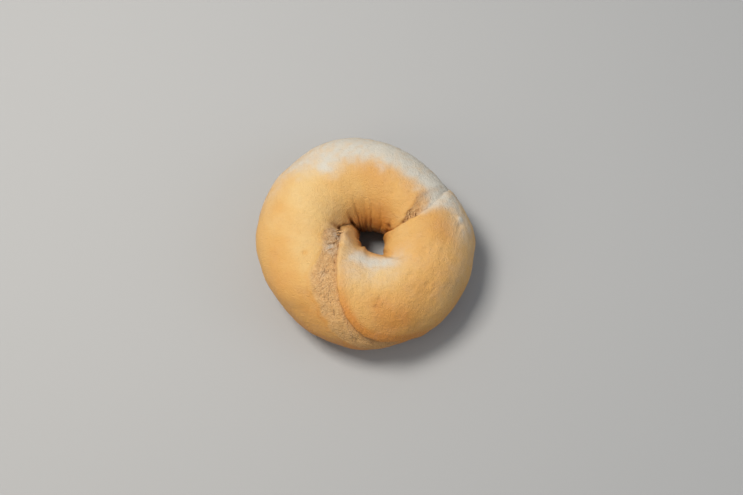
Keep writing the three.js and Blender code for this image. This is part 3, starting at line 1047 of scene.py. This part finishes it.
def eased(tree, value, low, high, to_low=0.0, to_high=1.0):
    """An eased climb from to_low at low to to_high at high."""
    sockets = {"Value": value, "From Min": low, "From Max": high}
    sockets |= {"To Min": to_low, "To Max": to_high}
    return node(tree, "ShaderNodeMapRange", sockets, interpolation_type="SMOOTHSTEP").outputs[0]


def mask_of(tree, name):
    return node(tree, "ShaderNodeAttribute", {}, attribute_name=name).outputs["Fac"]


print("arithmetic and noise are ready")

# %% Sways, blends and bumps
def swayed(tree, value, *sways):
    """The value, pushed up and down by noises, each given with how far it pushes."""
    for wobble, amount in sways:
        centred = reckoned(tree, "SUBTRACT", wobble, 0.5)
        value = reckoned(tree, "ADD", value, reckoned(tree, "MULTIPLY", centred, amount))
    return value


def blended(tree, share, under, over):
    """The under colour with the over colour laid on it by its share."""
    made = tree.nodes.new("ShaderNodeMix")
    made.data_type = "RGBA"
    sockets = {"Factor": share, "A": under, "B": over}
    for socket in made.inputs:
        if socket.enabled and socket.name in sockets:
            give(tree, socket, sockets[socket.name])
    return next(socket for socket in made.outputs if socket.enabled)


def bumped(tree, height, depth, strength, under=None):
    """A bump of the given depth in millimetres, laid over another one if there is one."""
    sockets = {"Height": height, "Distance": depth * METRES, "Strength": strength}
    if under is not None:
        sockets["Normal"] = under
    return node(tree, "ShaderNodeBump", sockets).outputs["Normal"]


print("sways, blends and bumps are ready")

# %% Colours of bare crust
TOAST_COLOURS = [
    (0.0, (0.66, 0.50, 0.265, 1)),
    (0.3, (0.66, 0.43, 0.17, 1)),
    (0.5, (0.635, 0.36, 0.112, 1)),
    (0.75, (0.60, 0.295, 0.075, 1)),
    (1.0, (0.57, 0.225, 0.04, 1)),
]


def toast_colour(tree, toast_value):
    """The colour of bare crust, from pale dough to deep gold."""
    colours = node(tree, "ShaderNodeValToRGB", {"Fac": toast_value})
    stops = colours.color_ramp.elements
    while len(stops) < len(TOAST_COLOURS):
        stops.new(0.5)
    for stop, (place, colour) in zip(stops, TOAST_COLOURS):
        stop.position = place
        stop.color = colour
    return colours.outputs["Color"]


print("bare crust:", len(TOAST_COLOURS), "colours from pale to deep gold")

# %% Crust finish
FLOUR_WHITE = (0.57, 0.535, 0.465, 1)
TORN_PALE = (0.67, 0.41, 0.18, 1)
TORN_DARK = (0.56, 0.305, 0.12, 1)
PAINTED_SHADE_BROWN = (0.20, 0.075, 0.018, 1)
BARE_ROUGHNESS = 0.5
DUSTY_ROUGHNESS = 0.85
CRUST_IOR = 1.4
CRUST_SPECULAR = 0.35
# Sizes of the grains in millimetres.
COARSE_GRAIN = 5.0
MIDDLING_GRAIN = 1.4
FINE_GRAIN = 0.55
FINE_GRAIN_ROUGHNESS = 0.6


def crust_finish():
    """Baked crust, flour and torn dough, and painted shade in deep places, as the masks say."""
    material = bpy.data.materials.new("crust_finish")
    material.use_nodes = True
    tree = material.node_tree
    shader = tree.nodes["Principled BSDF"]
    coarse = noise(tree, COARSE_GRAIN)
    middling = noise(tree, MIDDLING_GRAIN)
    fine = noise(tree, FINE_GRAIN, FINE_GRAIN_ROUGHNESS)

    toast_value = swayed(tree, mask_of(tree, "toast_and_shade"), (coarse, 0.15), (middling, 0.1))
    flour_value = swayed(tree, mask_of(tree, "flour"), (coarse, 0.35), (fine, 0.3))
    floured = eased(tree, flour_value, low=-0.1, high=1.1)
    torn_value = swayed(tree, mask_of(tree, "torn"), (fine, 0.3))
    torn_value = eased(tree, torn_value, low=0.1, high=0.9)
    grain = eased(tree, swayed(tree, fine, (middling, 0.6)), low=0.3, high=0.7)

    crumb_colour = blended(tree, grain, TORN_DARK, TORN_PALE)
    colour = blended(tree, torn_value, toast_colour(tree, toast_value), crumb_colour)
    colour = blended(tree, floured, colour, FLOUR_WHITE)
    # The deep mask lays painted shade over the colour.
    colour = blended(tree, mask_of(tree, "deep"), colour, PAINTED_SHADE_BROWN)
    tree.links.new(colour, shader.inputs["Base Color"])

    dusty = reckoned(tree, "MAXIMUM", floured, torn_value)
    sheen = eased(tree, dusty, 0, 1, BARE_ROUGHNESS, DUSTY_ROUGHNESS)
    tree.links.new(sheen, shader.inputs["Roughness"])
    shader.inputs["IOR"].default_value = CRUST_IOR
    shader.inputs["Specular IOR Level"].default_value = CRUST_SPECULAR

    torn_grain = reckoned(tree, "MULTIPLY", grain, torn_value)
    pores = bumped(tree, fine, depth=0.55, strength=0.9)
    skin = bumped(tree, middling, depth=0.55, strength=0.65, under=pores)
    torn_skin = bumped(tree, torn_grain, depth=0.3, strength=0.25, under=skin)
    tree.links.new(torn_skin, shader.inputs["Normal"])
    return material


crust_material = crust_finish()
bagel_crust.data.materials.append(crust_material)
print("crust finish:", len(crust_material.node_tree.nodes), "nodes")

# %% Hand over the crust
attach(bagel_crust, "root")
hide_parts("bagel")
print("the crust takes the place of the construction model's bagel")

# %% [markdown]
# ## Strands of torn dough
# Where the two layers pulled apart, thin strands of dough still stretch over the torn band.
# A few thicker ones curl at the mouth and at the tip. Each is a thin rope through three
# places: it leaves the crust at one end, arches a little, and dives back in at the other.
# They are a piece of their own, because strands would need far finer lines than the crust's
# net can spare. A hair system could grow them too, but these few have to start and end in
# the dough.

# %% Ropes through three places
STRAND_RINGS = 9
STRAND_SIDES = 6
# Each end starts this share of half a wave along the taper.
STRAND_END = 0.1
STRAND_TAPER = 0.7
SIDE_GUIDE = (0.1, 0.2, 1)

outward = unit(np.cross(along_net(points, 0), along_net(points, 1)))


def lifted(crossing, height):
    """A place straight above the crust, by its row and column in the net."""
    row, column = crossing[0] % HEADING_LINES, crossing[1] % WRAP_LINES
    return points[row, column] + height * outward[row, column]


def strand(start, middle, end, thick):
    """Rings of points along a thin rope through three places, thinner at its ends."""
    share = np.linspace(0, 1, STRAND_RINGS)[:, None]
    bend = 2 * middle - (start + end) / 2
    line = (1 - share) ** 2 * start + 2 * share * (1 - share) * bend + share**2 * end
    ahead = unit(np.gradient(line, axis=0))
    side = unit(np.cross(ahead, SIDE_GUIDE))
    above = np.cross(side, ahead)
    turn = np.arange(STRAND_SIDES) * 360 / STRAND_SIDES
    ring = cosine(turn)[None, :, None] * side[:, None] + sine(turn)[None, :, None] * above[:, None]
    taper = np.sin(np.pi * (STRAND_END + (1 - 2 * STRAND_END) * share)) ** STRAND_TAPER
    return line[:, None] + thick * taper[:, :, None] * ring


print("each strand:", STRAND_RINGS, "rings of", STRAND_SIDES, "points")

# %% Thick curls, placed one by one
# Three places by heading and wrap, then half the thickness and the arch's height.
CURLS = [
    ((14.6, 123), (17, 120), (19.5, 117), 0.3, 0.35),
    ((23, 113), (16, 117), (10, 114), 0.38, 0.6),
    ((21.5, 105), (17, 109), (8, 110.5), 0.36, 0.6),
    ((26, 96), (20, 97), (17, 94), 0.2, 0.3),
    ((168, 138), (169, 133), (172, 127.5), 0.5, 0.5),
    ((174, 134), (175, 130), (179, 125), 0.35, 0.45),
    ((165, 135), (165.5, 131), (168, 126), 0.3, 0.3),
]
CURL_ROOT = -0.2


def nearest_crossing(at_heading, at_wrap):
    """Row and column of the net closest to a heading and a wrap."""
    around, over = from_place(at_heading, at_wrap)
    return np.unravel_index(np.argmin(around**2 + over**2), heading.shape)


ropes = []
for *three, thick, arch in CURLS:
    heights = (CURL_ROOT, arch, CURL_ROOT)
    places = [lifted(nearest_crossing(*at), height) for at, height in zip(three, heights)]
    ropes.append(strand(*places, thick))
print("curls:", len(ropes))

# %% Thin strands, scattered over the torn dough
STRAND_COUNT = 70
STRAND_SEED = 71
# Lines of the net that a strand spans, half its thickness, and its arch in thicknesses.
STRAND_REACH = (6, 20)
STRAND_SLANT = (1, 7)
STRAND_THICK = (0.1, 0.2)
STRAND_ARCH = (0.1, 0.6)
# Where strands may start, and how far from the lip they have to end.
FULLY_TORN = 0.7
START_DISTANCE = -0.6
END_DISTANCE = -0.2
# Beside the long edge they start anywhere, and at the mouth only high up.
LONG_EDGE_SHARE = 0.5
HIGH_ON_MOUTH = 92

random = np.random.default_rng(STRAND_SEED)
roots = (torn > FULLY_TORN) & (distance < START_DISTANCE)
roots = roots & ((shares[0] > LONG_EDGE_SHARE) | (wrap > HIGH_ON_MOUTH))
torn_rows, torn_columns = np.nonzero(roots)
for pick in random.integers(0, len(torn_rows), STRAND_COUNT):
    row, column = torn_rows[pick], torn_columns[pick]
    across = int(random.integers(*STRAND_REACH))
    slant = int(random.integers(*STRAND_SLANT))
    thick = random.uniform(*STRAND_THICK)
    end_row, end_column = row - slant, column + across
    bent = (row - slant // 2 + int(random.integers(-1, 2)), column + across // 2)
    if distance[end_row % HEADING_LINES, end_column % WRAP_LINES] > END_DISTANCE:
        continue
    arch = thick * random.uniform(*STRAND_ARCH)
    start, end = lifted((row, column), -thick), lifted((end_row, end_column), -thick)
    ropes.append(strand(start, lifted(bent, arch), end, thick))
print("curls and strands:", len(ropes))

# %% Make the strands' mesh
STRAND_TOAST = 0.3
STRAND_FLOUR = 0.1

rope_places = np.array(ropes).reshape(len(ropes), -1, 3)
# A rope's last ring isn't joined to its first, and its sides turn the other way.
rope_faces = net_faces(STRAND_RINGS, STRAND_SIDES)[:-STRAND_SIDES, ::-1]
starts = np.arange(len(ropes))[:, None, None] * STRAND_RINGS * STRAND_SIDES
bagel_strands = mesh_piece("bagel_strands", rope_places, (rope_faces + starts).reshape(-1, 4))
print("strands mesh:", len(bagel_strands.data.vertices), "points")

# %% Finish and hand over the strands
all_torn = np.ones(rope_places.shape[:2])
paint(bagel_strands, "toast_and_shade", all_torn * STRAND_TOAST)
paint(bagel_strands, "flour", all_torn * STRAND_FLOUR)
paint(bagel_strands, "torn", all_torn)
bagel_strands.data.materials.append(crust_material)
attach(bagel_strands, "root")
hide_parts("bagel")

# %% [markdown]
# ## A plain floor
# The bagel stands on a pale grey floor that is far wider than the view, so its edge doesn't
# show. Mid grey keeps the light that it throws back onto the bread neutral and soft. A
# white one would fill every shadow and make the crust look flat.

# %% Floor
FLOOR_REACH = 3
FLOOR_GREY = (0.37, 0.37, 0.37, 1)
FLOOR_ROUGHNESS = 0.8

quarters = [(-1, -1), (1, -1), (1, 1), (-1, 1)]
floor_corners = [(x * FLOOR_REACH, y * FLOOR_REACH, 0) for x, y in quarters]
floor_mesh = bpy.data.meshes.new("floor")
floor_mesh.from_pydata(floor_corners, [], [(0, 1, 2, 3)])
floor = bpy.data.objects.new("floor", floor_mesh)
bpy.context.scene.collection.objects.link(floor)
floor_finish = bpy.data.materials.new("pale_floor")
floor_finish.use_nodes = True
floor_shader = floor_finish.node_tree.nodes["Principled BSDF"]
floor_shader.inputs["Base Color"].default_value = FLOOR_GREY
floor_shader.inputs["Roughness"].default_value = FLOOR_ROUGHNESS
floor.data.materials.append(floor_finish)
print("floor", 2 * FLOOR_REACH, "m across")

# %% [markdown]
# ## The camera
# A baker looks down at a bagel on the table, steeply but not from straight above, so that
# the far wall of the hole shows. The camera stands far enough away that the ring looks as
# round as it is. It could be dragged into place by eye. Here its place is worked out
# backwards: a known point of the bread has to land on a known spot of the frame, at a known
# number of millimetres to the pixel.

# %% Camera
ELEVATION = 71.0
ROLL = 4.1
LENS = 50.0
SENSOR = 36.0
NEAREST = 0.01
VIEW_WIDTH = 743
VIEW_HEIGHT = 495
MM_PER_PIXEL = 0.4709
AIM = np.array([0.8, -1.75, 18.0])
AIM_PIXEL = (366.5, 244.0)

stand_off = MM_PER_PIXEL * LENS / SENSOR * VIEW_WIDTH
back = np.array([0, -cosine(ELEVATION), sine(ELEVATION)])
level_up = np.array([0, sine(ELEVATION), cosine(ELEVATION)])
level_right = np.array([1, 0, 0])
right = cosine(ROLL) * level_right - sine(ROLL) * level_up
up = sine(ROLL) * level_right + cosine(ROLL) * level_up
aside = (AIM_PIXEL[0] - VIEW_WIDTH / 2) * MM_PER_PIXEL
above = (VIEW_HEIGHT / 2 - AIM_PIXEL[1]) * MM_PER_PIXEL
eye = AIM + back * stand_off - right * aside - up * above

camera_data = bpy.data.cameras.new("camera")
camera_data.lens = LENS
camera_data.sensor_width = SENSOR
camera_data.clip_start = NEAREST
camera = bpy.data.objects.new("camera", camera_data)
camera_rows = [[right[i], up[i], back[i], eye[i] * METRES] for i in range(3)]
camera.matrix_world = Matrix(camera_rows + [[0, 0, 0, 1]])
bpy.context.scene.collection.objects.link(camera)
bpy.context.scene.camera = camera
print("camera", round(stand_off), "mm from the bread")

# %% [markdown]
# ## Soft studio light
# One softbox, high at the back and the left, does most of the work, like a kitchen window
# on a bright day. It is small enough to leave a shadow at the right and to show the torn
# dough's grain. A cooler fill from the right opens that shadow, a warm one from the left
# warms the near wall, and a pale room lights the rest. A picture of a real room would give
# livelier reflections, but baked crust hardly has any.

# %% Lights
ROOM_COLOUR = (0.86, 0.93, 1.0, 1)
ROOM_STRENGTH = 0.36
LIGHT_DISTANCE = 0.9


def softbox(name, heading, elevation, size, watts, colour):
    """A square light that faces the bagel from a heading and an elevation."""
    data = bpy.data.lights.new(name, "AREA")
    data.shape = "SQUARE"
    data.size = size
    data.energy = watts
    data.color = colour
    light = bpy.data.objects.new(name, data)
    level = cosine(elevation)
    place = Vector((level * cosine(heading), level * sine(heading), sine(elevation)))
    light.location = place * LIGHT_DISTANCE
    light.rotation_euler = place.to_track_quat("Z", "Y").to_euler()
    bpy.context.scene.collection.objects.link(light)


bpy.context.scene.view_settings.view_transform = "Standard"
world = bpy.data.worlds.new("room")
world.use_nodes = True
world.node_tree.nodes["Background"].inputs["Color"].default_value = ROOM_COLOUR
world.node_tree.nodes["Background"].inputs["Strength"].default_value = ROOM_STRENGTH
bpy.context.scene.world = world

softbox("key", heading=149, elevation=66, size=0.3, watts=8.1, colour=(1.0, 0.955, 0.89))
softbox("fill", heading=345, elevation=30, size=0.5, watts=1.12, colour=(0.85, 0.92, 1.0))
softbox("side", heading=205, elevation=34, size=0.4, watts=1.0, colour=(1.0, 0.84, 0.6))
print("lights:", [lamp.name for lamp in bpy.data.lights])
